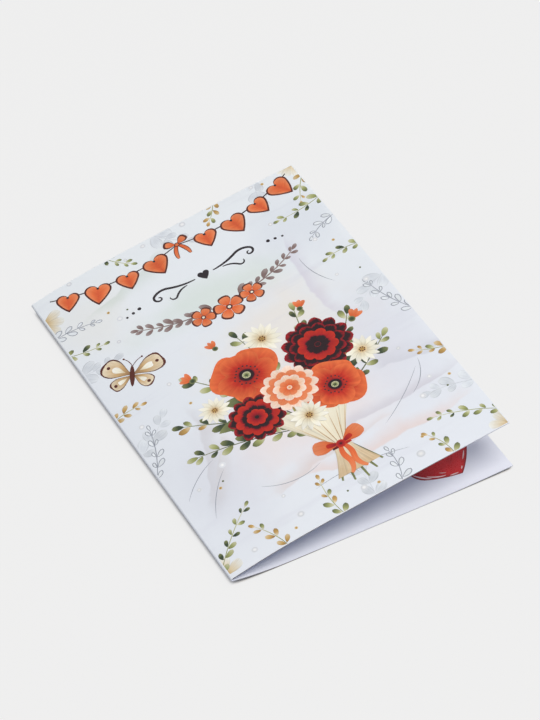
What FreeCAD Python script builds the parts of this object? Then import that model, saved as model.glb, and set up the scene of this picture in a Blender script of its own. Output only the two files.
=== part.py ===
"""A greeting card: one sheet of card, folded once and lying on its back panel.

The fold runs along Y on the left. The back panel leaves it downwards, bends level,
rests on its flat middle and curls up a little at its free edge. The cover leaves the
fold upwards and bends over, so that the card stands slightly open at the right.

The section lies in the XZ plane. Each face of the sheet is a chain of arcs and one
straight run, and both faces share their arcs' centres, so the sheet is equally thick
everywhere. The origin is in the middle of the flat on which the card rests.
"""
import FreeCAD, Part
import math
import os

import Sketcher

# Millimetres and degrees: name, value and meaning of each driving dimension
SIZES = [
    ("card_height", 148, "length of the fold"),
    ("panel_width", 105, "outside of the fold to a panel's free edge, along the panel"),
    ("sheet_thickness", 0.35, "thickness of the card stock"),
    ("fold_inner_radius", 0.35, "inside radius of the pressed fold"),
    ("cover_near_length", 30, "stretch of the cover that springs from the fold"),
    ("cover_near_turn", 7, "angle that this stretch bends through"),
    ("cover_far_turn", 1.6, "angle that the rest of the cover bends through"),
    ("cover_rise", 8.4, "slope of the cover at its free edge"),
    ("back_near_length", 22, "stretch of the back that comes down from the fold"),
    ("back_near_turn", 11, "angle that this stretch bends through"),
    ("back_flat_length", 46, "level stretch that the card rests on"),
    ("back_far_turn", 3.6, "angle that the back curls up at its free edge"),
]

# Which point of a curve a sketch constraint takes
START, END, CENTRE = 1, 2, 3


def make_sheet_of_sizes(doc):
    """Spreadsheet that holds the driving dimensions."""
    sizes = doc.addObject("Spreadsheet::Sheet", "sizes")
    for row, (name, value, meaning) in enumerate(SIZES, start=1):
        sizes.set(f"A{row}", name)
        sizes.set(f"B{row}", str(value))
        sizes.set(f"C{row}", meaning)
        sizes.setAlias(f"B{row}", name)
    doc.recompute()
    return sizes


def arc(centre, radius, first, last):
    """Arc in the sketch plane, anticlockwise between two polar angles in degrees."""
    x, z = centre
    circle = Part.Circle(FreeCAD.Vector(x, z, 0), FreeCAD.Vector(0, 0, 1), radius)
    return Part.ArcOfCircle(circle, math.radians(first), math.radians(last))


def polar(centre, radius, angle):
    """Point at a polar angle in degrees round a centre."""
    turn = math.radians(angle)
    return centre[0] + radius * math.cos(turn), centre[1] + radius * math.sin(turn)


class Section:
    """Arc centres and radii of the path through the fold's axis, from the sizes."""

    def __init__(self, sizes):
        self.inner = sizes.fold_inner_radius
        self.outer = sizes.fold_inner_radius + sizes.sheet_thickness
        panel_run = sizes.panel_width - self.outer
        self.cover_end = sizes.cover_rise
        self.cover_middle = self.cover_end + sizes.cover_far_turn
        self.cover_start = self.cover_middle + sizes.cover_near_turn
        self.back_start = sizes.back_near_turn
        self.back_end = sizes.back_far_turn
        self.half_flat = sizes.back_flat_length / 2

        self.cover_near = sizes.cover_near_length / math.radians(sizes.cover_near_turn)
        self.cover_far = (panel_run - sizes.cover_near_length) / math.radians(sizes.cover_far_turn)
        self.back_near = sizes.back_near_length / math.radians(sizes.back_near_turn)
        back_rest = panel_run - sizes.back_near_length - sizes.back_flat_length
        self.back_far = back_rest / math.radians(sizes.back_far_turn)

        self.back_near_centre = (-self.half_flat, self.back_near + self.outer)
        self.back_far_centre = (self.half_flat, self.back_far + self.outer)
        self.fold = polar(self.back_near_centre, self.back_near, 270 - self.back_start)
        self.cover_near_centre = polar(self.fold, self.cover_near, 270 + self.cover_start)
        bend = polar(self.cover_near_centre, self.cover_near, 90 + self.cover_middle)
        self.cover_far_centre = polar(bend, self.cover_far, 270 + self.cover_middle)

    def face(self, offset):
        """Curves of one face, at this offset from the path, from the cover's free edge on."""
        level = self.outer - offset
        flat = Part.LineSegment(
            FreeCAD.Vector(-self.half_flat, level, 0), FreeCAD.Vector(self.half_flat, level, 0)
        )
        return [
            arc(self.cover_far_centre, self.cover_far + offset,
                90 + self.cover_end, 90 + self.cover_middle),
            arc(self.cover_near_centre, self.cover_near + offset,
                90 + self.cover_middle, 90 + self.cover_start),
            arc(self.fold, offset, 90 + self.cover_start, 270 - self.back_start),
            arc(self.back_near_centre, self.back_near + offset, 270 - self.back_start, 270),
            flat,
            arc(self.back_far_centre, self.back_far + offset, 270, 270 + self.back_end),
        ]

    def edge(self, centre, radius, angle):
        """Cut edge of the sheet: a short line from its outer to its inner face."""
        ends = [polar(centre, radius + offset, angle) for offset in (self.outer, self.inner)]
        return Part.LineSegment(*[FreeCAD.Vector(x, z, 0) for x, z in ends])


def bind(sketch, kind, elements, value, name, expression):
    """Driving dimension of the sketch, named and tied to the sizes."""
    index = sketch.addConstraint(Sketcher.Constraint(kind, *elements, value))
    sketch.renameConstraint(index, name)
    sketch.setExpression(f"Constraints.{name}", expression)


def make_section_sketch(body, sizes):
    """Closed section of the folded sheet, fully constrained."""
    sketch = body.newObject("Sketcher::SketchObject", "folded_section")
    planes = {plane.Role: plane for plane in body.Origin.OriginFeatures}
    sketch.AttachmentSupport = [(planes["XZ_Plane"], "")]
    sketch.MapMode = "FlatFace"

    section = Section(sizes)
    outside = [sketch.addGeometry(curve) for curve in section.face(section.outer)]
    inside = [sketch.addGeometry(curve) for curve in section.face(section.inner)]
    cover_edge = sketch.addGeometry(
        section.edge(section.cover_far_centre, section.cover_far, 90 + section.cover_end)
    )
    back_edge = sketch.addGeometry(
        section.edge(section.back_far_centre, section.back_far, 270 + section.back_end)
    )
    cover_far, cover_near, fold, back_near, flat, back_far = outside
    flat_inside = inside[4]

    # Each face runs on smoothly from curve to curve
    for face in (outside, inside):
        for one, following in zip(face, face[1:]):
            sketch.addConstraint(Sketcher.Constraint("Tangent", one, END, following, START))
    # The two faces bend round the same centres, and stay level together
    for outer, inner in zip(outside, inside):
        if outer != flat:
            sketch.addConstraint(Sketcher.Constraint("Coincident", outer, CENTRE, inner, CENTRE))
    sketch.addConstraint(Sketcher.Constraint("Parallel", flat, flat_inside))
    # The cut edges are square to the sheet
    sketch.addConstraint(Sketcher.Constraint("Perpendicular", cover_far, START, cover_edge, START))
    sketch.addConstraint(Sketcher.Constraint("Coincident", cover_edge, END, inside[0], START))
    sketch.addConstraint(Sketcher.Constraint("Perpendicular", back_far, END, back_edge, START))
    sketch.addConstraint(Sketcher.Constraint("Coincident", back_edge, END, inside[5], END))
    # The flat lies on the X axis, with its middle at the origin
    sketch.addConstraint(Sketcher.Constraint("Symmetric", flat, START, flat, END, -1, 1))
    sketch.addConstraint(Sketcher.Constraint("Horizontal", flat))

    outer_radius = "(sizes.fold_inner_radius + sizes.sheet_thickness)"
    panel_run = f"(sizes.panel_width - {outer_radius})"
    degree = "(pi / 180)"
    bind(sketch, "Radius", [inside[2]], section.inner,
         "fold_inner_radius", "sizes.fold_inner_radius")
    bind(sketch, "Radius", [fold], section.outer, "fold_outer_radius", outer_radius)
    bind(sketch, "Radius", [cover_near], section.cover_near + section.outer, "cover_near_radius",
         f"sizes.cover_near_length / (sizes.cover_near_turn * {degree}) + {outer_radius}")
    bind(sketch, "Radius", [cover_far], section.cover_far + section.outer, "cover_far_radius",
         f"({panel_run} - sizes.cover_near_length) / (sizes.cover_far_turn * {degree})"
         f" + {outer_radius}")
    bind(sketch, "Radius", [back_near], section.back_near + section.outer, "back_near_radius",
         f"sizes.back_near_length / (sizes.back_near_turn * {degree}) + {outer_radius}")
    bind(sketch, "Radius", [back_far], section.back_far + section.outer, "back_far_radius",
         f"({panel_run} - sizes.back_near_length - sizes.back_flat_length)"
         f" / (sizes.back_far_turn * {degree}) + {outer_radius}")
    bind(sketch, "DistanceX", [flat, START, flat, END], 2 * section.half_flat,
         "back_flat_length", "sizes.back_flat_length")

    turns = [
        (cover_far, "cover_far_turn", "sizes.cover_far_turn"),
        (cover_near, "cover_near_turn", "sizes.cover_near_turn"),
        (back_near, "back_near_turn", "sizes.back_near_turn"),
        (back_far, "back_far_turn", "sizes.back_far_turn"),
        (fold, "fold_turn",
         "180 - sizes.cover_rise - sizes.cover_far_turn - sizes.cover_near_turn"
         " - sizes.back_near_turn"),
    ]
    for curve, name, expression in turns:
        span = sketch.Geometry[curve].LastParameter - sketch.Geometry[curve].FirstParameter
        bind(sketch, "Angle", [curve], span, name, f"({expression}) * 1 deg")
    return sketch


def make_folded_card(doc, sizes):
    """The whole card: its section drawn out along the fold."""
    body = doc.addObject("PartDesign::Body", "folded_card")
    body.Label = "folded_card"
    sketch = make_section_sketch(body, sizes)
    doc.recompute()
    length = body.newObject("PartDesign::Pad", "card_length")
    length.Profile = sketch
    length.Midplane = True
    length.setExpression("Length", "sizes.card_height")
    return body


def check(doc, bodies):
    """Stop if any object failed or any body isn't a valid solid."""
    for item in doc.Objects:
        if {"Invalid", "Error"} & set(item.State):
            raise RuntimeError(f"{item.Name} could not be built: {item.State}")
    for body in bodies:
        if body.Shape.isNull() or not body.Shape.isValid() or len(body.Shape.Solids) != 1:
            raise RuntimeError(f"{body.Label} is not one valid solid")


def main():
    doc = FreeCAD.newDocument("greeting_card")
    sizes = make_sheet_of_sizes(doc)
    card = make_folded_card(doc, sizes)
    doc.recompute()
    check(doc, [card])
    os.makedirs("parts", exist_ok=True)
    card.Shape.exportStep(f"parts/{card.Label}.step")


main()
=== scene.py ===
"""Greeting card: a folded sheet with a printed cover, a painted heart inside, and a pale studio stage.

Places on the print are millimetres on one face of the card: x from the fold, y from the bottom
edge. Each shape is drawn flat there, gets a film's thickness, and is then bent onto the panel.
"""

import itertools
import math
import random

import bmesh
import bpy
from mathutils import Matrix, Vector


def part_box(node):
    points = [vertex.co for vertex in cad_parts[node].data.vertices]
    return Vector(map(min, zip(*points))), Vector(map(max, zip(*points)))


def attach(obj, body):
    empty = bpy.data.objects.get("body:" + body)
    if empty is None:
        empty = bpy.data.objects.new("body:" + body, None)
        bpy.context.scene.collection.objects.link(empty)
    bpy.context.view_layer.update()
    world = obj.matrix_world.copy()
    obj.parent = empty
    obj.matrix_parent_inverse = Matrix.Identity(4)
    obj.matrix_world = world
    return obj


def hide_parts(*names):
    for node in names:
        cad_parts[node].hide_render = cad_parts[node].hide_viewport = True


bl_info = {
    "name": "Greeting card",
    "version": (1, 0, 0),
    "blender": (4, 5, 0),
    "location": "3D View > Sidebar > Card",
    "description": "Dresses a folded greeting card: sheet, cover print, inside heart and stage",
    "category": "Object",
}

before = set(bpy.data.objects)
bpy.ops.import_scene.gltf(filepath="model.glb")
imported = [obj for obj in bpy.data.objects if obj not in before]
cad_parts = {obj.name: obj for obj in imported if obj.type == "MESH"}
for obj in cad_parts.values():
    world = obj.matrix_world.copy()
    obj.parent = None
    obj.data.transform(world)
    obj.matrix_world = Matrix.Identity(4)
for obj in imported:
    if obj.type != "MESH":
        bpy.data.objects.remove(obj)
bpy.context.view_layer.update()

CARD_NODE = "folded_card"
MM = 0.001
card_low, card_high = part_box(CARD_NODE)


def linear(red, green, blue):
    """Linear colour of a display colour given from 0 to 255."""
    scaled = [channel / 255 for channel in (red, green, blue)]
    return tuple(c / 12.92 if c < 0.04045 else ((c + 0.055) / 1.055) ** 2.4 for c in scaled)


def amount(name, description, default, **options):
    """A number that a user may change."""
    return bpy.props.FloatProperty(name=name, description=description, default=default, **options)


def distance(name, description, metres):
    """A length that a user may change."""
    return amount(name, description, metres, unit="LENGTH", subtype="DISTANCE", precision=5)


def angle(name, description, degrees):
    """An angle that a user may change."""
    return amount(name, description, math.radians(degrees), unit="ROTATION", subtype="ANGLE")


def tint(name, description, default, **options):
    """Colour of a light, which may pass 1."""
    return bpy.props.FloatVectorProperty(
        name=name, description=description, default=default, size=3, min=0, subtype="COLOR", **options
    )


def colour(name, description, red, green, blue):
    """A colour that a user may change, written as it shows."""
    return tint(name, description, linear(red, green, blue), max=1)


class CardSizes(bpy.types.PropertyGroup):
    """Sizes of the folded sheet; they repeat the driving dimensions of the part."""

    height: distance("Height", "Length of the fold", card_high.y - card_low.y)
    panel: distance("Panel width", "Outside of the fold to a free edge, along the panel", 0.105)
    thickness: distance("Thickness", "Thickness of the card stock", 0.00035)
    fold: distance("Fold radius", "Inside radius of the pressed fold", 0.00035)
    cover_near: distance("Cover near length", "Stretch of the cover that springs from the fold", 0.030)
    cover_near_turn: angle("Cover near turn", "Angle that this stretch bends through", 7)
    cover_far_turn: angle("Cover far turn", "Angle that the rest of the cover bends through", 1.6)
    cover_rise: angle("Cover rise", "Slope of the cover at its free edge", 8.4)
    back_near: distance("Back near length", "Stretch of the back that comes down from the fold", 0.022)
    back_near_turn: angle("Back near turn", "Angle that this stretch bends through", 11)
    back_flat: distance("Back flat length", "Level stretch that the card rests on", 0.046)
    back_far_turn: angle("Back far turn", "Angle that the back curls up at its free edge", 3.6)
    cut_bevel: distance("Cut bevel", "Softness of the cut edges", 0.00004)


class CardColours(bpy.types.PropertyGroup):
    """Colours of the card stock and of the print's inks."""

    stock: colour("Card stock", "Bare card", 229, 232, 245)
    # Painted shade: the grey of the cut edges stands for the shade they lie in near the fold
    edge: colour("Cut edge", "Greyest stretch of the cut edges", 122, 116, 121)
    wash: colour("Cover wash", "Cool tint printed all over the cover", 231, 235, 239)
    orange: colour("Orange", "Hearts, ribbon, blossoms and the rim of poppies", 228, 112, 62)
    scarlet: colour("Scarlet", "Body of poppies and the root of orange shapes", 196, 48, 30)
    crimson: colour("Crimson", "Rim of the dark petals", 160, 26, 34)
    plum: colour("Plum", "Body of the dark petals", 44, 27, 30)
    outline: colour("Brown outline", "Outline of the orange ornaments", 92, 46, 36)
    greybrown: colour("Grey-brown", "Leaf row under the garland", 134, 112, 108)
    ink: colour("Black ink", "String, scrolls and small dots", 52, 45, 48)
    peach: colour("Peach", "Pale petals", 247, 190, 142)
    cream: colour("Cream", "Daisies and paper wrap", 244, 238, 216)
    tan: colour("Tan", "Shade of the cream shapes", 205, 168, 118)
    olive: colour("Olive", "Light leaves", 162, 166, 106)
    moss: colour("Moss", "Dark leaves", 66, 78, 56)
    gold: colour("Gold", "Ochre leaves, buds and flower centres", 198, 160, 92)
    mist: colour("Mist", "Pale blue-grey buds and pencil lines", 182, 188, 200)
    heart: colour("Inside heart", "Painted heart on the inside of the back", 218, 58, 60)


class StageSizes(bpy.types.PropertyGroup):
    """Camera, lamps and floor."""

    azimuth: angle("Azimuth", "Camera's turn round the card, from straight in front", -26.56)
    elevation: angle("Elevation", "Camera's height angle", 44.01)
    roll: angle("Roll", "Camera's roll", -2.53)
    look_x: distance("Look at X", "Point on the table in the middle of the picture", 0.01448)
    look_y: distance("Look at Y", "Point on the table in the middle of the picture", 0.01143)
    away: distance("Distance", "Camera to that point", 1.1776)
    focal_pixels: amount("Focal length", "In pixels of a picture 720 high", 3455.7)
    world: amount("World strength", "Even light from all round", 0.42)
    world_tint: tint("World tint", "Cool light from all round", (0.90, 0.96, 1.10))
    key: amount("Key power", "Soft lamp high in front, in watts", 18.84)
    fill: amount("Fill power", "Soft lamp to the right, in watts", 5.16)
    lamp_tint: tint("Lamp tint", "Warm light of both lamps", (1.07, 1.03, 0.93))
    floor: colour("Floor", "Table and backdrop as they show", 239, 239, 239)
    floor_glow: amount("Floor glow", "Share of the open floor's tone that no shadow reaches", 0.94)
    floor_bounce: amount("Floor bounce", "Share of its tone with which the floor lights the card", 0.35)


class Bend:
    """A line that starts at a place in a direction and turns evenly along each stretch."""

    def __init__(self, x, y, heading, stretches):
        self.start = (x, y, heading)
        self.stretches = stretches
        self.length = sum(length for length, _ in stretches)

    def at(self, travelled):
        """Place and heading at this distance along the line."""
        x, y, heading = self.start
        for length, turn in self.stretches:
            step = min(travelled, length)
            travelled -= step
            turned = turn * step / length
            if abs(turned) < 1e-6:
                x += step * math.cos(heading)
                y += step * math.sin(heading)
            else:
                radius = length / turn
                x += radius * (math.sin(heading + turned) - math.sin(heading))
                y -= radius * (math.cos(heading + turned) - math.cos(heading))
            heading += turned
        return x, y, heading


class Fold:
    """Where the folded sheet runs in the XZ plane, worked out from its sizes."""

    def __init__(self, sizes):
        self.inner = sizes.fold
        self.outer = sizes.fold + sizes.thickness
        self.front = -sizes.height / 2
        run = sizes.panel - self.outer
        drop = Bend(0, 0, -sizes.back_near_turn, [(sizes.back_near, sizes.back_near_turn)])
        across, down, _ = drop.at(sizes.back_near)
        self.axis = (-sizes.back_flat / 2 - across, self.outer - down)
        self.back = Bend(*self.axis, -sizes.back_near_turn, [
            (sizes.back_near, sizes.back_near_turn),
            (sizes.back_flat, 0),
            (run - sizes.back_near - sizes.back_flat, sizes.back_far_turn),
        ])
        start = sizes.cover_rise + sizes.cover_far_turn + sizes.cover_near_turn
        self.cover = Bend(*self.axis, start, [
            (sizes.cover_near, -sizes.cover_near_turn),
            (run - sizes.cover_near, -sizes.cover_far_turn),
        ])
        self.fold_turn = math.pi - start - sizes.back_near_turn

    def point(self, bend, lift, x, y):
        """Point of the frame at a place on a panel, in millimetres, lifted off its path in metres."""
        px, pz, heading = bend.at(x * MM - self.outer)
        return Vector((
            px - lift * math.sin(heading), self.front + y * MM, pz + lift * math.cos(heading)
        ))

    def on_cover(self, x, y, height):
        """Point on the outside of the cover."""
        return self.point(self.cover, self.outer + height * MM, x, y)

    def on_back(self, x, y, height):
        """Point on the inside of the back panel."""
        return self.point(self.back, -self.inner + height * MM, x, y)


class Value:
    """A socket's number, so that shader maths reads as Python expressions."""

    def __init__(self, shader, socket):
        self.shader = shader
        self.socket = socket

    def maths(self, operation, first, second):
        return self.shader.node("ShaderNodeMath", {"operation": operation}, {0: first, 1: second})

    def __add__(self, other):
        return self.maths("ADD", self, other)

    def __radd__(self, other):
        return self.maths("ADD", other, self)

    def __sub__(self, other):
        return self.maths("SUBTRACT", self, other)

    def __rsub__(self, other):
        return self.maths("SUBTRACT", other, self)

    def __mul__(self, other):
        return self.maths("MULTIPLY", self, other)

    def __rmul__(self, other):
        return self.maths("MULTIPLY", other, self)

    def __truediv__(self, other):
        return self.maths("DIVIDE", self, other)

    def __pow__(self, other):
        return self.maths("POWER", self, other)

    def __abs__(self):
        return self.maths("ABSOLUTE", self, 0)


class Shader:
    """A material's node tree, built from values and one method for every other node."""

    def __init__(self, name):
        self.material = bpy.data.materials.new(name)
        self.material.use_nodes = True
        self.tree = self.material.node_tree
        self.surface = self.tree.nodes["Principled BSDF"]

    def node(self, kind, settings, inputs, output=0):
        """Add a node of this type; settings first, then values or links of its sockets."""
        added = self.tree.nodes.new(kind)
        for key, value in settings.items():
            if key == "stops":
                self.set_stops(added.color_ramp, value)
            else:
                setattr(added, key, value)
        for key, value in inputs.items():
            self.feed(added.inputs[key], value)
        return Value(self, added.outputs[output])

    def set_stops(self, ramp, stops):
        while len(ramp.elements) < len(stops):
            ramp.elements.new(1)
        for element, (position, shade) in zip(ramp.elements, stops):
            element.position = position
            element.color = (*shade, 1)

    def feed(self, socket, value):
        if isinstance(value, Value):
            self.tree.links.new(value.socket, socket)
        else:
            socket.default_value = value

    def finish(self, inputs):
        """Set or link the surface's own sockets."""
        for key, value in inputs.items():
            self.feed(self.surface.inputs[key], value)
        return self.material

    def smooth(self, value, low, high):
        """0 below low and 1 above high, with a soft step between."""
        return self.node(
            "ShaderNodeMapRange", {"interpolation_type": "SMOOTHSTEP"},
            {"Value": value, "From Min": low, "From Max": high},
        )

    def mix(self, factor, first, second):
        """Colour between two colours."""
        colours = [(*c, 1) if isinstance(c, tuple) else c for c in (first, second)]
        return self.node(
            "ShaderNodeMix", {"data_type": "RGBA"},
            {0: factor, 6: colours[0], 7: colours[1]}, output=2,
        )

    def tint(self, shade, factor):
        """A colour made lighter or darker by a factor."""
        return self.node("ShaderNodeVectorMath", {"operation": "SCALE"}, {0: shade, "Scale": factor})

    def noise(self, place, scale, detail=2.0, roughness=0.5):
        return self.node(
            "ShaderNodeTexNoise", {},
            {"Vector": place, "Scale": scale, "Detail": detail, "Roughness": roughness},
        )

    def bump(self, height, strength, depth):
        return self.node(
            "ShaderNodeBump", {}, {"Height": height, "Strength": strength, "Distance": depth}
        )

    def place(self):
        """Object coordinates, in metres in the card's frame."""
        return self.node("ShaderNodeTexCoord", {}, {}, output="Object")

    def parts(self, vector):
        """X, Y and Z of a vector."""
        split = self.node("ShaderNodeSeparateXYZ", {}, {0: vector}).socket.node
        return [Value(self, output) for output in split.outputs]


def mixed(first, second, share):
    """Plain blend of two colours."""
    return tuple(a + (b - a) * share for a, b in zip(first, second))


def paper_surface(shader, shade, place):
    """Finish shared by bare and printed card: fine fibres, a soft sheen and faint mottling."""
    fibres = shader.noise(place, 2400, 4, 0.65)
    mottle = shader.noise(place, 320, 3)
    tone = 0.985 + 0.02 * mottle + 0.01 * fibres
    return shader.finish({
        "Base Color": shader.tint(shade, tone),
        "Roughness": 0.46 + 0.12 * fibres,
        "Normal": shader.bump(fibres + 0.5 * mottle, 0.12, 0.00003),
        "Specular IOR Level": 0.35,
    })


def stock_material(colours):
    """Bare white card."""
    shader = Shader("card stock")
    place = shader.place()
    stain = shader.noise(place, 22, 2)
    shade = tuple(colours.stock)
    return paper_surface(shader, shader.mix(stain, shade, mixed(shade, (0.8, 0.8, 0.8), 0.12)), place)


def edge_material(name, colours, middle, near, far):
    """Cut edge with open fibres and painted shade: grey near a middle, where the edge lies in shade, and
    bare far from it, in the frame's millimetres.
    """
    shader = Shader(name)
    place = shader.place()
    x, _, _ = shader.parts(place)
    fluff = shader.noise(place, 5200, 3, 0.7)
    grey = tuple(colours.edge)
    # Painted shade, with the fibres' own mottle through it
    painted_edge_shade = shader.mix(fluff, grey, mixed(grey, (0.8, 0.8, 0.8), 0.3))
    # The painted shade fades out away from the middle
    bare = shader.smooth(abs(x / MM - middle), near, far)
    return paper_surface(shader, shader.mix(bare, painted_edge_shade, tuple(colours.stock)), place)


def cover_material(colours):
    """Cover with a cool tint, faint pools of colour and long soft brush marks on wet paper."""
    shader = Shader("cover wash")
    place = shader.place()
    x, y, _ = shader.parts(place)
    x, y = x / MM, y / MM
    drift = shader.noise(place, 55, 3) - 0.5
    ripple = shader.noise(place, 210, 3) - 0.5

    def pool(middle, half, hard):
        """Soft oval, given its middle and half-size in millimetres of the frame."""
        right = (x - middle[0]) / half[0]
        up = (y - middle[1]) / half[1]
        return shader.smooth((right * right + up * up) ** 0.5 + drift + 0.2 * ripple, 1.0, hard)

    def arc(middle, radius, width):
        """Brush mark round a circle, which dried with a firm rim and fades away from it."""
        right, up = x - middle[0], y - middle[1]
        off = ((right * right + up * up) ** 0.5 - radius) / width + 1.6 * drift + 0.4 * ripple
        return shader.smooth(off, -0.12, 0.06) * shader.smooth(off, 1.4, -0.1)

    wash = tuple(colours.wash)
    shade = shader.mix(shader.noise(place, 14, 2), wash, mixed(wash, tuple(colours.stock), 0.6))
    # Painted light: the wash turns whiter towards the top, standing in for brighter light there
    shade = shader.mix(shader.smooth(y, -20, 85), shade, linear(243, 247, 250))
    # Middle and half-size of each pool, its display colour and its strength
    for middle, half, stain, strength in (
        ((6, -30), (44, 30), (242, 218, 210), 0.40),
        ((16, 4), (36, 36), (246, 228, 204), 0.36),
        ((4, 36), (40, 13), (208, 224, 206), 0.42),
        ((-30, -40), (20, 34), (212, 213, 224), 0.36),
        ((40, -20), (20, 40), (222, 222, 232), 0.50),
        ((44, 48), (24, 24), (218, 223, 234), 0.40),
        ((-30, 52), (22, 22), (240, 236, 226), 0.35),
    ):
        shade = shader.mix(strength * pool(middle, half, 0.15), shade, linear(*stain))
    # Circle that each brush mark follows, its width, the oval that it shows in, colour and strength
    for middle, radius, width, spot, half, stain, strength in (
        ((-92, -6), 66, 7.0, (-28, -30), (14, 30), (186, 178, 180), 0.30),
        ((-86, 10), 72, 4.0, (-22, -44), (12, 30), (208, 198, 192), 0.32),
        ((30, 60), 118, -6.0, (16, -58), (42, 12), (232, 198, 186), 0.50),
        ((36, 84), 128, -4.0, (30, -44), (30, 12), (200, 194, 204), 0.52),
        ((70, 96), 128, -6.0, (46, -28), (16, 24), (204, 204, 214), 0.55),
        ((96, 20), 62, -5.0, (38, 22), (12, 30), (212, 206, 222), 0.55),
        ((-40, 120), 66, 6.0, (-16, 60), (26, 12), (198, 212, 196), 0.40),
        ((20, -140), 92, 5.0, (2, -50), (30, 8), (216, 196, 190), 0.45),
    ):
        mark = arc(middle, radius, width) * pool(spot, half, 0.5)
        shade = shader.mix(strength * mark, shade, linear(*stain))
    strokes = shader.node(
        "ShaderNodeMapping", {}, {0: place, "Rotation": (0, 0, math.radians(28)), "Scale": (14, 110, 14)}
    )
    brushed = shader.smooth(shader.noise(strokes, 1.0, 4, 0.6), 0.56, 0.78)
    shade = shader.mix(0.28 * brushed, shade, linear(210, 210, 222))
    return paper_surface(shader, shade, place)


def ink_material(name, root, body, tip, body_at, roughness):
    """Paint that runs from a shape's root to its tip, with streaks, pooled rims and grain."""
    shader = Shader(name)
    place = shader.place()
    paint = shader.node("ShaderNodeUVMap", {"uv_map": "paint"}, {})
    along, across, _ = shader.parts(paint)
    tone = shader.node("ShaderNodeAttribute", {"attribute_name": "tone"}, {}, output="Fac")
    blot = shader.noise(place, 420, 3) - 0.5
    grain = shader.noise(place, 2600, 3, 0.6)
    lane = shader.node("ShaderNodeCombineXYZ", {}, {0: across * 13, 1: along * 1.6, 2: tone * 9})
    streak = shader.noise(lane, 1.0, 2) - 0.5
    shade = shader.node(
        "ShaderNodeValToRGB", {"stops": ((0.04, root), (body_at, body), (0.98, tip))},
        {0: along + 0.30 * blot + 0.22 * streak},
    )
    pooled = shader.smooth(abs(across - 0.5), 0.36, 0.5) * (0.5 + blot)
    level = 0.93 + 0.16 * tone + 0.32 * streak - 0.30 * pooled + 0.06 * (grain - 0.5)
    return shader.finish({
        "Base Color": shader.tint(shade, level),
        "Roughness": roughness - 0.05 + 0.1 * grain,
        "Normal": shader.bump(grain, 0.10, 0.00003),
        "Specular IOR Level": 0.38,
    })


# Root, body and tip of each ink: a colour by name, or the blend of two and the second one's share
INKS = {
    "orange": (("scarlet", "orange", 0.6), "orange", ("orange", "peach", 0.25)),
    "poppy": (("plum", "scarlet", 0.3), "scarlet", "orange"),
    "plum": ("plum", "plum", "crimson"),
    "crimson": ("plum", "crimson", "scarlet"),
    "peach": ("orange", "peach", ("peach", "white", 0.55)),
    "cream": (("gold", "cream", 0.4), "cream", ("cream", "white", 0.6)),
    "wrap": (("tan", "cream", 0.25), ("tan", "cream", 0.75), "cream"),
    "tan": (("outline", "tan", 0.4), "tan", ("tan", "cream", 0.6)),
    "outline": ("outline",) * 3,
    "greybrown": ("greybrown", "greybrown", ("greybrown", "white", 0.18)),
    "ink": ("ink",) * 3,
    "olive": (("moss", "olive", 0.5), "olive", ("olive", "cream", 0.45)),
    "moss": ("moss", "moss", ("moss", "olive", 0.6)),
    "gold": (("outline", "gold", 0.5), "gold", ("gold", "cream", 0.45)),
    "leaf": (("olive", "cream", 0.6), "olive", ("moss", "olive", 0.2)),
    "amber": (("gold", "cream", 0.7), "gold", ("outline", "gold", 0.6)),
    "butter": ("gold", ("gold", "cream", 0.55), ("cream", "wash", 0.6)),
    "mist": ("mist", ("mist", "white", 0.25), ("mist", "white", 0.6)),
    "ghost": (("wash", "mist", 0.2), ("wash", "mist", 0.35), "wash"),
    "pencil": (("mist", "ink", 0.35),) * 3,
    "paper": ("wash",) * 3,
    "bud": ("white", ("mist", "white", 0.8), ("mist", "white", 0.4)),
    "heart": ("heart", "heart", ("heart", "plum", 0.25)),
    "heart shade": ("heart", ("heart", "plum", 0.2), "heart"),
    "heart rim": (("heart", "plum", 0.55),) * 3,
    "light": (("heart", "white", 0.72),) * 3,
}


def ink(name, colours):
    """Ink of the print by name, made when it is first used."""
    made = bpy.data.materials.get(f"{name} ink")
    if made:
        return made
    shades = {key: tuple(getattr(colours, key)) for key in colours.__annotations__}
    shades["white"] = linear(250, 249, 248)
    run = []
    for stop in INKS[name]:
        if isinstance(stop, str):
            run.append(shades[stop])
        else:
            first, second, share = stop
            run.append(mixed(shades[first], shades[second], share))
    return ink_material(
        f"{name} ink", *run,
        body_at=0.86 if name == "plum" else 0.46,
        roughness=0.28 if name.startswith("heart") else 0.46,
    )


FILM = 0.004       # millimetres between a shape and what it lies on
SQUARE = 0.5       # millimetres, side of the squares that remember how high the print is
MARGIN = 0.3       # millimetres of card left clear of print at its cut edges
SPINE_MARGIN = 0.9     # the same beside the fold
PENCIL = 0.24      # millimetres, width of a pencil line
BUD_RIM = 0.22     # millimetres of rim round a pale bud


def turned(x, y, heading, reach, side=0.0):
    """Place at a reach along a heading, and to its left side."""
    return (
        x + reach * math.cos(heading) - side * math.sin(heading),
        y + reach * math.sin(heading) + side * math.cos(heading),
    )


def all_round(count, start=0.0):
    """Headings spread evenly all round."""
    return [start + step * math.tau / count for step in range(count)]


def only(items, *kinds):
    """The items of these kinds, out of what a mesh operator gives back."""
    return [item for item in items if isinstance(item, kinds)]


def swag(start, end, turn):
    """Bend that hangs between two places and turns through this angle."""
    across, up = end[0] - start[0], end[1] - start[1]
    length = math.hypot(across, up) * (turn / 2) / math.sin(turn / 2)
    return Bend(*start, math.atan2(up, across) - turn / 2, [(length, turn)])


class Relief:
    """How high the print stands over a panel, so that each shape lies on those before it."""

    def __init__(self):
        self.tops = {}

    def lay(self, faces):
        """Height at which these faces clear all that they cover."""
        squares = set()
        for face in faces:
            spans = [
                [math.floor(vert.co[axis] / SQUARE) for vert in face.verts] for axis in (0, 1)
            ]
            squares.update(itertools.product(*(range(min(span), max(span) + 1) for span in spans)))
        top = FILM + max(self.tops.get(square, FILM) for square in squares)
        self.tops.update((square, top) for square in squares)
        return top


cover_relief = Relief()


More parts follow.
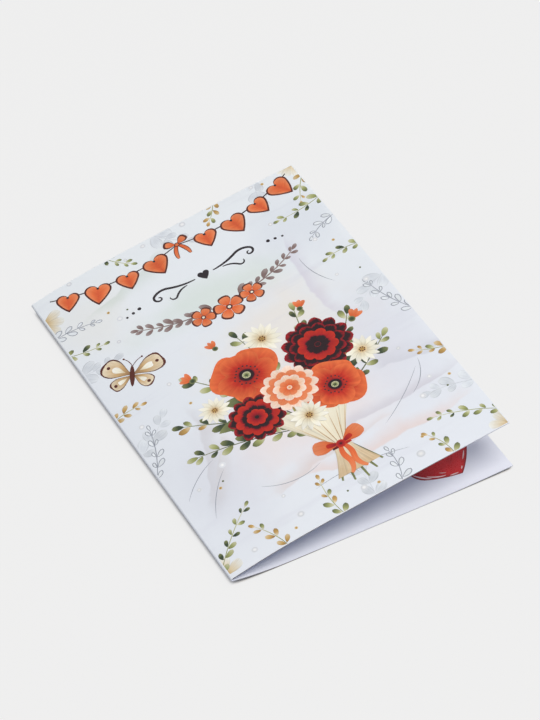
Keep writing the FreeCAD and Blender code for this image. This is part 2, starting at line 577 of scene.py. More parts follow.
class Artwork:
    """Flat shapes in millimetres on one panel, each with paint coordinates and a tone of its own."""

    def __init__(self, name, seed, relief):
        self.name = name
        self.bm = bmesh.new()
        self.paint = self.bm.loops.layers.uv.new("paint")
        self.tone = self.bm.faces.layers.float.new("tone")
        self.random = random.Random(seed)
        self.relief = relief
        self.inks = []

    def settle(self, ink, spots, place, paint):
        """Move fresh vertices over what is there, and note their ink, tone and paint coordinates."""
        if ink not in self.inks:
            self.inks.append(ink)
        for vert, spot in spots.items():
            vert.co = (*place(*spot), 0)
        faces = {face for vert in spots for face in vert.link_faces}
        height = self.relief.lay(faces)
        for vert in spots:
            vert.co.z = height
        tone = self.random.random()
        for face in faces:
            face.material_index = self.inks.index(ink)
            face[self.tone] = tone
            for loop in face.loops:
                loop[self.paint].uv = paint(*spots[loop.vert])

    def patch(self, ink, place, along, across, paint=lambda along, across: (along, (across + 1) / 2)):
        """A shape swept from along 0 to 1 and across -1 to 1, in so many squares."""
        grid = bmesh.ops.create_grid(self.bm, x_segments=along, y_segments=across, size=1)
        spots = {vert: ((vert.co.x + 1) / 2, vert.co.y) for vert in grid["verts"]}
        self.settle(ink, spots, place, paint)

    def dot(self, ink, x, y, radius, points=14):
        """A round spot."""
        fan = bmesh.ops.create_circle(
            self.bm, cap_ends=True, cap_tris=True, segments=points, radius=1
        )
        spots = {vert: (vert.co.length, math.atan2(vert.co.y, vert.co.x)) for vert in fan["verts"]}
        self.settle(
            ink, spots, lambda reach, turn: turned(x, y, turn, reach * radius),
            lambda reach, turn: (reach, 0.5),
        )

    def stroke(self, ink, line, width, swell=0.8, steps=14):
        """A brush line along a bend; swell 1 gives it pointed ends."""
        def place(along, across):
            x, y, heading = line.at(along * line.length)
            body = max(math.sin(math.pi * along), 0.0) ** 0.6
            return turned(x, y, heading, 0, across * width / 2 * max(1 - swell + swell * body, 0.08))
        self.patch(ink, place, steps, 1)

    def leaf(self, ink, x, y, heading, length, width, curl, full=0.85):
        """A leaf that curls to one side; over 1, full makes it widest near a rounded tip."""
        line = Bend(x, y, heading, [(length, curl)])
        def place(along, across):
            px, py, facing = line.at(along * length)
            half = width / 2 * (0.05 + max(math.sin(math.pi * along ** full), 0.0) ** (0.68 / full))
            return turned(px, py, facing, 0, across * half)
        self.patch(ink, place, 8, 2)

    def round_leaf(self, ink, x, y, heading, length, width, curl):
        """A leaf of a sprig on its short stalk; one in pencil is only an outline."""
        stalk, full = 0.3, 1.35
        x, y = turned(x, y, heading, stalk)
        self.leaf(ink, x, y, heading, length, width, curl, full)
        if ink == "pencil":
            x, y = turned(x, y, heading, PENCIL)
            self.leaf("paper", x, y, heading, length - 2.3 * PENCIL, width - 2 * PENCIL, curl, full)

    def petal(self, ink, x, y, heading, reach, spread, point=0.0, ruffle=0.03, across=8):
        """A petal that fans out from its root to a rounded, pointed or ruffled rim."""
        phase = self.random.uniform(0, math.tau)
        def place(along, across):
            fall = 0.26 * across ** 4 + point * abs(across) - ruffle * math.sin(5 * across + phase)
            belly = 0.62 + 0.38 * math.sin(math.pi * (0.15 + 0.6 * along))
            radius = reach * (0.05 + 0.95 * along * (1 - fall * along))
            return turned(x, y, heading + across * belly * spread / 2, radius)
        self.patch(ink, place, 7, across)

    def heart(self, ink, x, y, heading, size, half_angle=50, belly=22):
        """A heart with its tip at x, y and its lobes towards the heading."""
        lean = math.radians(90 - half_angle)
        flank = Bend(0, 0, lean, [(0.62 * size, math.radians(belly))])
        side, up, facing = flank.at(flank.length)
        end = math.radians(250)
        lobe = side / (math.sin(facing) - math.sin(end))
        edge = Bend(0, 0, lean, flank.stretches + [(lobe * (end - facing), end - facing)])
        _, cleft, _ = edge.at(edge.length)
        def place(along, across):
            px, py, _ = edge.at(along * edge.length)
            return turned(
                x, y, heading, cleft * along + abs(across) * (py - cleft * along), -across * px
            )
        self.patch(ink, place, 24, 6, lambda along, across: (abs(across), along))

    def outlined_heart(self, ink, x, y, heading, size):
        """A heart with an even dark outline, hung by its cleft."""
        cleft, edge = 0.66 * size, 0.6
        self.heart("outline", *turned(x, y, heading, -cleft - 1.5 * edge), heading, size + 2.8 * edge)
        self.heart(ink, *turned(x, y, heading, -cleft), heading, size)

    def sprig(self, x, y, heading, length, bend, leaf, pairs, inks, stem="moss", slim=0.48, thick=0.28):
        """A bending stem with pairs of leaves that shrink towards its tip."""
        line = Bend(x, y, heading, [(length, bend)])
        self.stroke(stem, line, thick, swell=0.5)
        for pair in range(pairs):
            share = (pair + 0.4) / pairs
            for side in (1, -1):
                px, py, facing = line.at(length * (share + self.random.uniform(-0.12, 0.12) / pairs))
                size = leaf * (1 - 0.40 * share) * self.random.uniform(0.72, 1.18)
                open_angle = side * self.random.uniform(0.62, 1.05)
                self.round_leaf(self.random.choice(inks), px, py, facing + open_angle, size,
                                size * slim, -0.5 * side)
        self.round_leaf(inks[0], *line.at(length * 0.97), leaf * 0.66, leaf * 0.66 * slim, 0.2)

    def trim(self, width, height):
        """Cut off what would run over the panel's edges."""
        edges = (
            ((SPINE_MARGIN, 0, 0), (-1, 0, 0)),
            ((width - MARGIN, 0, 0), (1, 0, 0)),
            ((0, MARGIN, 0), (0, -1, 0)),
            ((0, height - MARGIN, 0), (0, 1, 0)),
        )
        for place, outwards in edges:
            everything = self.bm.verts[:] + self.bm.edges[:] + self.bm.faces[:]
            bmesh.ops.bisect_plane(
                self.bm, geom=everything, dist=1e-5, plane_co=place, plane_no=outwards, clear_outer=True
            )

    def print_on(self, point, colours, sizes):
        """Give the shapes their body down to the card, bend them onto the panel and show them."""
        bmesh.ops.remove_doubles(self.bm, verts=self.bm.verts[:], dist=FILM / 10)
        self.trim(sizes.panel / MM, sizes.height / MM)
        drawn = bmesh.ops.extrude_face_region(self.bm, geom=self.bm.faces[:])
        for vert in only(drawn["geom"], bmesh.types.BMVert):
            vert.co.z = 0
        bmesh.ops.recalc_face_normals(self.bm, faces=self.bm.faces[:])
        for vert in self.bm.verts:
            vert.co = point(*vert.co)
        materials = [ink(name, colours) for name in self.inks]
        return show(self.name, self.bm, materials)


def add_object(name, data):
    """New object of the open scene."""
    added = bpy.data.objects.new(name, data)
    bpy.context.scene.collection.objects.link(added)
    return added


def add_mesh(name, bm, materials):
    """Finished mesh as a new object of the open scene."""
    mesh = bpy.data.meshes.new(name)
    bm.to_mesh(mesh)
    bm.free()
    for material in materials:
        mesh.materials.append(material)
    return add_object(name, mesh)


def show(name, bm, materials):
    """Make a finished mesh a piece that rides with the card."""
    piece = add_mesh(name, bm, materials)
    piece.data.shade_smooth()
    piece.data.set_sharp_from_angle(angle=math.radians(30))
    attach(piece, "root")
    return piece


def poppy(art, x, y, size, turn):
    """Open poppy: back petals, front petals, dark blotch, stamens and seed head."""
    for reach, start in ((1.0, 0.0), (0.84, math.pi / 3)):
        for heading in all_round(3, turn + start):
            art.petal("poppy", x, y, heading, size * reach, math.radians(128), ruffle=0.05, across=16)
    art.dot("plum", x, y, size * 0.24, 20)
    for heading in all_round(18):
        art.dot("ink", *turned(x, y, heading, size * art.random.uniform(0.27, 0.36)), size * 0.028, 8)
    art.dot("olive", x, y, size * 0.12)
    for heading in all_round(8)[:4]:
        rib = Bend(*turned(x, y, heading, -size * 0.10), heading, [(size * 0.20, 0.1)])
        art.stroke("moss", rib, size * 0.03, steps=3)


def dahlia(art, x, y, size, turn, inks):
    """Rings of petals that grow smaller and steeper towards the middle."""
    for ring in range(4):
        count = 13 - 2 * ring
        reach = size * (1 - 0.21 * ring)
        for step in range(count):
            heading = turn + (step + 0.5 * ring) * math.tau / count
            art.petal(inks[ring % len(inks)], x, y, heading, reach,
                      math.tau / count * 1.45, point=0.10, ruffle=0.01)
    art.dot(inks[0], x, y, size * 0.09)


def daisy(art, x, y, size, turn):
    """Narrow pale petals round an ochre middle."""
    for heading in all_round(13, turn):
        art.leaf("cream", *turned(x, y, heading, size * 0.12), heading, size * 0.88, size * 0.34, 0.2)
    art.dot("gold", x, y, size * 0.26)
    for heading in all_round(7):
        art.dot("outline", *turned(x, y, heading, size * 0.14), size * 0.045, 8)


def blossom(art, x, y, size, turn):
    """Five outlined petals round a dark eye."""
    for grow, name in ((1.0, "outline"), (0.87, "orange")):
        for heading in all_round(5, turn):
            art.petal(name, x, y, heading, size * grow, math.radians(64 + 6 * grow), ruffle=0.0)
    art.dot("outline", x, y, size * 0.20)
    art.dot("cream", x, y, size * 0.10)


def draw_garland(art):
    """Two swags of string with outlined hearts that hang from them, and a small bow between."""
    knot = (54, 139)
    for start, end, first in (((6, 144.5), knot, 0.13), (knot, (101, 145.5), 0.21)):
        line = swag(start, end, math.radians(44))
        art.stroke("ink", line, 0.5, swell=0.2, steps=24)
        for count in range(4):
            x, y, heading = line.at(line.length * (first + 0.22 * count))
            size = 10.2 if count % 2 else 8.8
            lean = heading + math.pi / 2 + art.random.uniform(-0.2, 0.2)
            art.outlined_heart("orange", x, y, lean, size)
            art.dot("ink", x, y, 0.5, 10)
    for side in (1, -1):
        for name, grow in (("outline", 1.0), ("orange", 0.84)):
            art.petal(name, *knot, math.pi / 2 - side * 1.05, 5.0 * grow, 1.05 * grow, ruffle=0.0)
            art.stroke(name, Bend(*knot, -math.pi / 2 + side * 0.75, [(7.0, -side * 0.8)]),
                       1.7 * grow ** 2, swell=0.6)
    art.dot("outline", *knot, 1.0)
    art.dot("orange", *knot, 0.62)


def draw_crest(art):
    """A scroll line over a garland of small leaves, with three blossoms in its middle."""
    middle = 55
    for side in (1, -1):
        heading = 0 if side > 0 else math.pi
        art.sprig(middle + 4 * side, 104.5, heading, 28, side * 0.55, 4.8, 8,
                  ("greybrown",), "greybrown", 0.46, 0.5)
        scroll = Bend(middle + 3.5 * side, 120.5, heading, [
            (10, side * 0.45), (6, -side * 1.1), (4.2, -side * 2.6), (2.6, -side * 3.2),
        ])
        art.stroke("ink", scroll, 1.0, swell=0.6, steps=34)
        curl = Bend(middle + 7 * side, 119.8, heading, [(6, -side * 0.9), (3.6, side * 2.8)])
        art.stroke("ink", curl, 0.75, swell=0.6, steps=20)
        for count in range(3):
            art.dot("ink", middle + side * (25.5 + 2.6 * count), 120.6 - 0.5 * count, 0.7 - 0.12 * count)
        blossom(art, middle + 9.5 * side, 103.0, 4.6, 0.4 * side)
    art.heart("ink", middle, 118.2, math.pi / 2, 5.2)
    blossom(art, middle, 101.8, 5.8, math.pi / 2)


def draw_greens(art):
    """Stems and leaves behind the flowers, and the stem ends below the wrap."""
    for count, (heading, length) in enumerate((
        (2.70, 42), (2.38, 47), (1.98, 52), (1.52, 52), (1.10, 54), (0.74, 50), (0.40, 43),
    )):
        inks = (("olive", "moss", "leaf"), ("moss", "amber", "leaf"))[count % 2]
        art.sprig(54, 37, heading, length, 0.25, 6.4, 8, inks, thick=0.4)
    for heading, length in ((2.50, 12), (0.60, 12), (2.90, 15), (0.20, 15)):
        x, y = turned(55, 50, heading, 15)
        art.leaf("moss", x, y, heading, length, 5.2, 0.4)
    for x in (-2.4, -1.2, 0.1, 1.3, 2.5):
        art.stroke("moss", Bend(56 + 0.4 * x, 28, -math.pi / 2 + 0.16 * x, [(20 - abs(x), 0.05)]), 0.9,
                   swell=0.3)


def draw_wrap(art):
    """Paper cone round the stems: overlapping sheets, a waist with a ribbon, and a flared foot."""
    foot, rise, waist = (56, 13), 35, 0.36

    def half_width(share):
        if share < waist:
            return 2.6 + 5.4 * ((waist - share) / waist) ** 1.4
        return 2.6 + 15.5 * ((share - waist) / (1 - waist)) ** 1.12

    def spot(up, side):
        return foot[0] + side * half_width(up), foot[1] + rise * up + 3.2 * side * side * up

    for left, right, top in ((-1.0, 0.1, 1.0), (-0.05, 1.0, 1.02), (-0.62, 0.66, 0.90)):
        def place(along, across):
            side = left + (right - left) * (across + 1) / 2
            crease = 0.05 * (1 - abs(across))
            return spot(along * (top - crease), side)
        art.patch("wrap", place, 16, 6)
    for side in (-0.78, -0.40, -0.12, 0.24, 0.52, 0.86):
        x, y = spot(waist, side)
        end_x, end_y = spot(0.86, side)
        line = Bend(x, y, math.atan2(end_y - y, end_x - x), [(0.8 * math.hypot(end_x - x, end_y - y), 0)])
        art.stroke("tan", line, 0.32, swell=0.9, steps=8)
    knot = spot(waist, 0)
    art.stroke("crimson", Bend(knot[0] - 3.4, knot[1], -0.12, [(6.8, 0.24)]), 2.4, swell=0.1, steps=6)
    for side in (1, -1):
        art.petal("orange", *knot, math.pi / 2 - side * 1.25, 9.5, 0.95, ruffle=0.0)
        art.petal("crimson", *knot, math.pi / 2 - side * 1.25, 5.0, 0.6, ruffle=0.0)
        tail = Bend(*knot, -math.pi / 2 + side * 0.62, [(7, -side * 0.9), (7, side * 1.1)])
        art.stroke("orange", tail, 2.0, swell=0.55)
    art.dot("crimson", *knot, 1.7)


def draw_flowers(art):
    """The bouquet's flowers, from the back to the front."""
    for x, y, size, heading in (
        (29, 80, 4.6, 2.2), (86, 71, 4.8, 0.7), (74, 86, 4.2, 1.2), (42, 88, 4.0, 1.8),
    ):
        for side in (-0.45, 0.45, 0.0):
            art.petal("orange", x, y, heading + side, size, 0.7, 0.2)
        art.dot("moss", x, y, size * 0.26)
    daisy(art, 57, 82, 7.2, 0.1)
    daisy(art, 82, 57, 6.4, 0.5)
    daisy(art, 29, 64, 5.8, 0.9)
    dahlia(art, 71, 68, 12.5, 0.2, ("plum", "plum", "crimson"))
    poppy(art, 45, 71, 12.5, 0.5)
    dahlia(art, 39, 52.5, 10.0, 0.0, ("plum", "crimson"))
    poppy(art, 67, 49, 11.0, 1.3)
    dahlia(art, 54, 57, 10.0, 0.7, ("peach", "orange"))
    daisy(art, 53.5, 42.5, 6.6, 0.4)


def draw_butterfly(art, x, y, size, heading):
    """Two pairs of pale brown wings, body and feelers."""
    for side in (1, -1):
        for turn, reach, spread in ((2.15, 0.72, 0.95), (1.08, 1.0, 1.02)):
            facing = heading + side * turn
            art.petal("outline", x, y, facing, size * reach, spread, ruffle=0.02, across=12)
            art.petal("tan", x, y, facing, size * reach * 0.94, spread * 0.93, ruffle=0.0, across=12)
            art.petal("cream", *turned(x, y, facing, size * reach * 0.22), facing,
                      size * reach * 0.44, spread * 0.72)
            art.dot("outline", *turned(x, y, facing, size * reach * 0.80), size * 0.055, 10)
        head = turned(x, y, heading, size * 0.30)
        feeler = Bend(*head, heading + side * 0.35, [(size * 0.42, side * 0.7)])
        art.stroke("outline", feeler, 0.3, swell=0.4, steps=8)
        art.dot("outline", *feeler.at(feeler.length)[:2], 0.4, 8)
    body = Bend(*turned(x, y, heading, -size * 0.42), heading, [(size * 0.76, 0.05)])
    art.stroke("outline", body, size * 0.15, swell=0.85)


def draw_sprigs(art):
    """Slender leafy sprigs that grow in from the corners and edges."""
    for x, y, headings in (
        (106, 150, (196, 226, 256)), (-1, 137, (-62, -24, 14)), (-1, 2, (20, 62)), (106, -1, (112, 150)),
    ):
        for heading in headings:
            art.petal("butter", x, y, math.radians(heading), 8.0, 0.72, ruffle=0.02)
    for x, y, heading, length in (
        (48, 150, -60, 15), (91, 150, -118, 14), (-2, 62, 24, 19), (107, 84, 200, 19),
        (107, 22, 152, 17), (54, -2, 74, 16), (-2, 108, -20, 14),
    ):
        art.sprig(x, y, math.radians(heading), length, 0.4, 6.4, 3, ("ghost",), "ghost", 0.6)
    leafy, ochre, drawn = ("leaf", "olive", "leaf", "moss"), ("amber", "leaf", "gold"), ("pencil",)
    for x, y, heading, length, bend, inks in (
        (-2, 3, 52, 28, -16, leafy), (22, -2, 98, 16, 26, ochre), (43, -2, 104, 19, -26, ochre),
        (107, 6, 140, 24, 26, leafy), (84, -2, 84, 14, 40, ochre),
        (107, 143, 228, 15, 20, ochre), (107, 129, 198, 19, -22, leafy), (30, 150, -64, 11, 24, leafy),
        (74, 150, -112, 10, -24, ochre), (107, 100, 160, 14, 34, leafy), (-2, 119, -28, 15, 20, leafy),
        (-2, 82, 16, 12, -28, ochre), (107, 41, 168, 12, -24, ochre),
        (-2, 128, 2, 17, -24, drawn), (-1, 50, 56, 23, 24, drawn), (106, 62, 122, 22, -24, drawn),
        (106, 118, 190, 13, 26, drawn), (64, -1, 60, 15, 36, drawn),
    ):
        pairs = max(3, round(length / 4.8))
        stem = "pencil" if inks == drawn else "olive"
        art.sprig(x, y, math.radians(heading), length, math.radians(bend), 3.9, pairs, inks, stem)
    for x, y, heading, length, turn in (
        (26, 26, -0.7, 22, 1.1), (40, 14, 0.15, 34, -0.5), (86, 30, 0.5, 16, 0.9), (4, 36, 0.9, 18, -0.6),
        (90, 90, 2.2, 18, -0.7), (72, 24, 0.5, 26, 0.3), (8, 24, 1.2, 20, -0.5),
    ):
        art.stroke("pencil", Bend(x, y, heading, [(length, turn)]), PENCIL, swell=0.9, steps=16)


def draw_buds(art):
    """Small pale buds with a soft rim, and ochre and dark dots between the sprigs."""
    for x, y, size in (
        (20, 42, 1.2), (9, 38, 0.9), (30, 18, 0.8), (31, 8, 1.3), (53, 5, 1.2), (12, 5, 1.1),
        (75, 6, 1.5), (88, 27, 1.2), (94, 33, 0.9), (92, 50, 0.8), (99, 84, 1.2), (92, 92, 0.8),
        (94, 111, 1.1), (85, 127, 0.9), (22, 121, 1.1), (17, 112, 0.8), (6, 74, 1.0), (22, 84, 0.9),
        (44, 146, 1.0), (60, 146.5, 1.2), (88, 147, 0.9), (15, 147, 1.0), (36, 144, 0.7),
    ):
        art.dot("mist", x, y, size, 20)
        art.dot("bud", x, y, size - BUD_RIM, 20)
    for x, y in (
        (15, 34), (27, 4), (58, 4), (79, 12), (100, 30), (99, 107), (92, 146), (20, 126), (24, 72),
    ):
        art.dot("gold", x, y, 0.6)
    for x, y in ((17, 36), (48, 7), (97, 26), (100, 90), (26, 123)):
        art.dot("moss", x, y, 0.4, 8)


def draw_inside_heart(art):
    """Painted heart that looks out from under the cover, with brushed white lights."""
    tip, heading, size = (89.4, 5.9), math.radians(109.3), 19.9
    half_angle, belly, rim = 64.4, 17.5, 0.42
    rise, shrink = 1.11 * rim, 2.35 * rim    # these leave an even rim round a heart of this shape
    art.heart("heart rim", *tip, heading, size, half_angle, belly)
    art.heart("heart", *turned(*tip, heading, rise), heading, size - shrink, half_angle, belly)
    for start, end, turn, width in (
        ((86.0, 11.0), (91.6, 17.5), 0.3, 1.6), ((80.5, 13.0), (86.8, 21.0), -0.5, 1.3),
        ((77.0, 15.5), (80.0, 21.5), -0.8, 0.8), ((93.0, 13.6), (97.0, 19.0), 0.5, 0.9),
    ):
        art.stroke("heart shade", swag(start, end, turn), width, swell=0.95)
    for start, end, turn, width in (
        ((74.6, 13.4), (79.4, 8.9), 0.5, 0.66), ((78.2, 10.6), (84.2, 7.9), 0.6, 0.50),
        ((85.2, 7.1), (88.4, 6.9), 0.1, 0.44), ((92.4, 11.2), (94.8, 14.6), 0.1, 0.40),
        ((89.9, 7.7), (90.8, 8.9), 0.2, 0.40), ((82.6, 10.0), (84.8, 8.9), 0.3, 0.26),
        ((75.4, 17.2), (77.8, 22.0), -1.0, 0.50), ((98.2, 18.6), (98.0, 23.2), 1.0, 0.46),
    ):
        art.stroke("light", swag(start, end, turn), width, swell=0.95)


COVER, COVER_EDGE, BACK_EDGE = 1, 2, 3    # places of these finishes, after the bare stock's
SQUARE_ON = 0.9      # least share of a cut edge's normal along its axis
UPWARD = 0.1         # least share of the cover's normal that points up
SHARP = math.radians(60)    # least angle of the corners that are softened


def make_sheet(sizes, colours):
    """The folded sheet: its section spun round each bend from a cut edge, then drawn along the fold."""
    fold = Fold(sizes)
    cover, back = fold.cover, fold.back
    bm = bmesh.new()
    ends = [fold.point(cover, lift, sizes.panel / MM, 0) for lift in (fold.inner, fold.outer)]
    verts = [bm.verts.new(end) for end in ends]
    last = [*verts, bm.edges.new(verts)]

    def spin(centre, turn, steps):
        spun = bmesh.ops.spin(
            bm, geom=last, cent=centre, axis=(0, -1, 0), angle=turn, steps=steps, use_merge=False
        )
        return spun["geom_last"]

    def centre(bend, travelled, radius):
        x, z, heading = bend.at(travelled)
        return Vector((x - radius * math.sin(heading), fold.front, z + radius * math.cos(heading)))

    def move(geometry, vec):
        bmesh.ops.translate(bm, verts=only(geometry, bmesh.types.BMVert), vec=vec)

    near, far = cover.stretches
    last = spin(centre(cover, near[0], far[0] / far[1]), -far[1], steps=26)
    last = spin(centre(cover, 0, near[0] / near[1]), -near[1], steps=16)
    last = spin(Vector((fold.axis[0], fold.front, fold.axis[1])), fold.fold_turn, steps=16)
    down, flat, curl = back.stretches
    last = spin(centre(back, 0, down[0] / down[1]), down[1], steps=14)
    level = bmesh.ops.extrude_edge_only(bm, edges=only(last, bmesh.types.BMEdge))["geom"]
    move(level, (flat[0], 0, 0))
    last = only(level, bmesh.types.BMVert, bmesh.types.BMEdge)
    last = spin(centre(back, down[0] + flat[0], curl[0] / curl[1]), curl[1], steps=12)

    drawn = bmesh.ops.extrude_face_region(bm, geom=bm.faces[:])
    move(drawn["geom"], (0, sizes.height, 0))
    bmesh.ops.recalc_face_normals(bm, faces=bm.faces[:])
    for face in bm.faces:
        x, _, z = face.calc_center_median() - Vector((fold.axis[0], 0, fold.axis[1]))
        if x > 0 and (abs(face.normal.y) > SQUARE_ON or face.normal.x > SQUARE_ON):
            face.material_index = COVER_EDGE if z > 0 else BACK_EDGE
        elif z > 0 and face.normal.z > UPWARD:
            face.material_index = COVER
    sharp = [edge for edge in bm.edges if edge.calc_face_angle(0) > SHARP]
    bmesh.ops.bevel(
        bm, geom=sharp, offset=sizes.cut_bevel, segments=2, profile=0.5, affect="EDGES", material=-1
    )
    finishes = [
        stock_material(colours), cover_material(colours),
        # Painted shade on the cut edges: the cover's greys over its stretch nearer the fold, the back's
        # near the fold where the back is raised off the table
        edge_material("cover edge", colours, middle=-20, near=45, far=66),
        edge_material("back edge", colours, middle=-26, near=6, far=22),
    ]
    sheet = show("card_sheet", bm, finishes)
    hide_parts(CARD_NODE)


SENSOR = 36             # millimetres, along the picture's longer side
PICTURE_HEIGHT = 720    # pixels of the picture for which the focal length is given
KEY_PLACE = (0, -0.712, 1.762)
FILL_PLACE = (1.344, 0, 1.344)
LAMP_SIZE = 0.9
FLOOR_HALF = 2          # from the middle of the floor to a side
FLOOR_DEPTH = 0.00004   # below the card, so that the two faces never meet
SHADE_REACH = 0.0034    # how near a thing has to be to darken the floor


def set_camera(stage):
    """Camera where the photograph was taken from."""
    turn, rise = stage.azimuth, stage.elevation
    back = Vector((
        math.sin(turn) * math.cos(rise), -math.cos(turn) * math.cos(rise), math.sin(rise)
    ))
    right = (-back).cross(Vector((0, 0, 1))).normalized()
    up = right.cross(-back)
    roll = Matrix.Rotation(stage.roll, 3, back)
    axes = Matrix((roll @ right, roll @ up, back)).transposed()
    camera = add_object("camera", bpy.data.cameras.new("camera"))
    camera.data.sensor_width = SENSOR
    camera.data.lens = stage.focal_pixels / PICTURE_HEIGHT * SENSOR
    camera.matrix_world = Matrix.Translation(
        Vector((stage.look_x, stage.look_y, 0)) + back * stage.away
    ) @ axes.to_4x4()
    bpy.context.scene.camera = camera


def set_lamp(name, place, power, shade):
    """Square soft lamp that faces the card."""
    lamp = add_object(name, bpy.data.lights.new(name, "AREA"))
    lamp.data.size = LAMP_SIZE
    lamp.data.energy = power
    lamp.data.color = shade
    lamp.matrix_world = Matrix.Translation(place) @ (
        Vector(place).to_track_quat("Z", "Y").to_matrix().to_4x4()
    )


def set_world(stage):
    """Even cool light from all round."""
    world = bpy.data.worlds.new("studio")
    world.use_nodes = True
    background = world.node_tree.nodes["Background"]
    background.inputs["Color"].default_value = (*stage.world_tint, 1)
    background.inputs["Strength"].default_value = stage.world
    bpy.context.scene.world = world


def set_floor(stage):
    """Pale table. Seen or mirrored it partly glows, except where something is close above; there a
    painted contact shadow darkens it.
    """
    bm = bmesh.new()
    bmesh.ops.create_grid(bm, x_segments=1, y_segments=1, size=FLOOR_HALF)
    bmesh.ops.translate(bm, verts=bm.verts[:], vec=(0, 0, -FLOOR_DEPTH))
    shader = Shader("floor")
    seen = shader.smooth(sum(
        shader.node("ShaderNodeLightPath", {}, {}, output=f"Is {ray} Ray")
        for ray in ("Camera", "Glossy", "Transmission")
    ), 0, 1)
    air = shader.node(
        "ShaderNodeAmbientOcclusion", {"samples": 16}, {"Distance": SHADE_REACH}, output="AO"
    )
    # Glow falls away where something is close above, but a little stays even in the deepest shade:
    # painted light that lifts the shadow
    glow = seen * stage.floor_glow * (0.025 + 0.975 * shader.smooth(air, 0.40, 0.72))
    # Painted contact shadow: the floor's colour is darkened where something is close above
    painted_shadow_level = 0.24 + 0.76 * shader.smooth(air, 0.10, 0.50)
    bounce = stage.floor_bounce
    shade = tuple(stage.floor)
    # Painted shade colour: the floor is tinted warm, which shows mostly in its shadows
    warm = mixed(shade, (1.0, 0.8, 0.6), 0.12)
    finish = shader.finish({
        "Base Color": shader.tint(warm, painted_shadow_level * (seen * (1 - bounce) + bounce - glow)),
        "Roughness": 0.9,
        "Specular IOR Level": 0.0,
        "Emission Color": shader.tint(shade, glow),
        "Emission Strength": 1.0,
    })
    floor = add_mesh("floor", bm, [finish])


def settings():
    """Sizes, colours and stage of the open scene."""
    scene = bpy.context.scene
    return scene.card_sizes, scene.card_colours, scene.card_stage


def print_cover(name, seed, draw):
    """Draw one group of shapes and print it on the cover."""
    sizes, colours, _ = settings()
    art = Artwork(name, seed, cover_relief)
    draw(art)
    art.print_on(Fold(sizes).on_cover, colours, sizes)


class CARD_OT_set_stage(bpy.types.Operator):
    """Set the floor, lamps, world light and camera"""

    bl_idname = "card.set_stage"
    bl_label = "Stage"

    def execute(self, context):
        _, _, stage = settings()
        context.scene.view_settings.view_transform = "Standard"
        set_world(stage)
        set_floor(stage)
        set_lamp("key", KEY_PLACE, stage.key, stage.lamp_tint)
        set_lamp("fill", FILL_PLACE, stage.fill, stage.lamp_tint)
        set_camera(stage)
        return {"FINISHED"}


class CARD_OT_make_sheet(bpy.types.Operator):
    """Make the folded sheet with its paper finish"""

    bl_idname = "card.make_sheet"
    bl_label = "Folded sheet"

    def execute(self, context):
        sizes, colours, _ = settings()
        make_sheet(sizes, colours)
        cover_relief.tops.clear()    # a new sheet has no print on it yet
        return {"FINISHED"}


class CARD_OT_print_sprigs(bpy.types.Operator):
    """Print the sprigs round the cover's edges"""

    bl_idname = "card.print_sprigs"
    bl_label = "Sprigs"

    def execute(self, context):
        print_cover("print_sprigs", 19, draw_sprigs)
        return {"FINISHED"}


class CARD_OT_print_buds(bpy.types.Operator):
    """Print the pale buds and dots"""

    bl_idname = "card.print_buds"
    bl_label = "Buds and dots"

    def execute(self, context):
        print_cover("print_buds", 23, draw_buds)
        return {"FINISHED"}


class CARD_OT_print_garland(bpy.types.Operator):
    """Print the garland of hearts along the top"""

    bl_idname = "card.print_garland"
    bl_label = "Heart garland"

    def execute(self, context):
        print_cover("print_garland", 3, draw_garland)
        return {"FINISHED"}


class CARD_OT_print_crest(bpy.types.Operator):
    """Print the scroll line, leaf garland and blossoms"""

    bl_idname = "card.print_crest"
    bl_label = "Leaf crest"

    def execute(self, context):
        print_cover("print_crest", 5, draw_crest)
        return {"FINISHED"}


class CARD_OT_print_butterfly(bpy.types.Operator):
    """Print the butterfly at the left"""

    bl_idname = "card.print_butterfly"
    bl_label = "Butterfly"

    def execute(self, context):
        print_cover("print_butterfly", 17, lambda art: draw_butterfly(art, 14, 96, 12, math.radians(62)))
        return {"FINISHED"}


class CARD_OT_print_greens(bpy.types.Operator):
    """Print the bouquet's stems and leaves"""

    bl_idname = "card.print_greens"
    bl_label = "Bouquet leaves"

    def execute(self, context):
        print_cover("print_bouquet_leaves", 7, draw_greens)
        return {"FINISHED"}


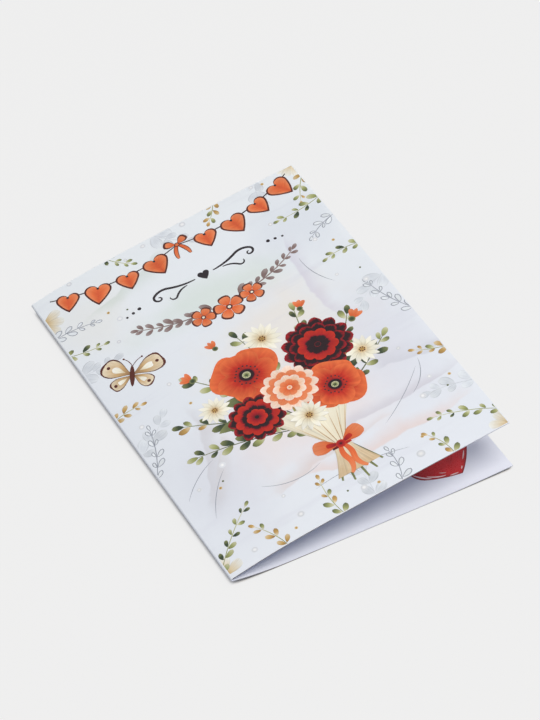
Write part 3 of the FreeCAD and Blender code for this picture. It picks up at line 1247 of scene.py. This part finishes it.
class CARD_OT_print_wrap(bpy.types.Operator):
    """Print the paper wrap and its bow"""

    bl_idname = "card.print_wrap"
    bl_label = "Wrap and bow"

    def execute(self, context):
        print_cover("print_bouquet_wrap", 13, draw_wrap)
        return {"FINISHED"}


class CARD_OT_print_flowers(bpy.types.Operator):
    """Print the bouquet's flowers"""

    bl_idname = "card.print_flowers"
    bl_label = "Bouquet flowers"

    def execute(self, context):
        print_cover("print_bouquet_flowers", 11, draw_flowers)
        return {"FINISHED"}


class CARD_OT_paint_heart(bpy.types.Operator):
    """Paint the glossy heart on the inside of the back panel"""

    bl_idname = "card.paint_heart"
    bl_label = "Inside heart"

    def execute(self, context):
        sizes, colours, _ = settings()
        art = Artwork("inside_heart", 29, Relief())
        draw_inside_heart(art)
        art.print_on(Fold(sizes).on_back, colours, sizes)
        return {"FINISHED"}


STEPS = (
    CARD_OT_set_stage, CARD_OT_make_sheet, CARD_OT_print_sprigs, CARD_OT_print_buds,
    CARD_OT_print_garland, CARD_OT_print_crest, CARD_OT_print_butterfly, CARD_OT_print_greens,
    CARD_OT_print_wrap, CARD_OT_print_flowers, CARD_OT_paint_heart,
)
GROUPS = {"card_sizes": CardSizes, "card_colours": CardColours, "card_stage": StageSizes}


class CARD_PT_steps(bpy.types.Panel):
    """Sidebar panel with every step of the card"""

    bl_label = "Greeting card"
    bl_idname = "CARD_PT_steps"
    bl_space_type = "VIEW_3D"
    bl_region_type = "UI"
    bl_category = "Card"

    def draw(self, context):
        for step in STEPS:
            self.layout.operator(step.bl_idname)
        for name, group in GROUPS.items():
            box = self.layout.box()
            for key in group.__annotations__:
                box.prop(getattr(context.scene, name), key)


CLASSES = (*GROUPS.values(), *STEPS, CARD_PT_steps)


def register():
    for cls in CLASSES:
        bpy.utils.register_class(cls)
    for name, group in GROUPS.items():
        setattr(bpy.types.Scene, name, bpy.props.PointerProperty(type=group))


def unregister():
    for name in GROUPS:
        delattr(bpy.types.Scene, name)
    for cls in reversed(CLASSES):
        bpy.utils.unregister_class(cls)


def main():
    register()
    for step in STEPS:
        group, name = step.bl_idname.split(".")
        getattr(getattr(bpy.ops, group), name)()


if __name__ == "__main__":
    main()
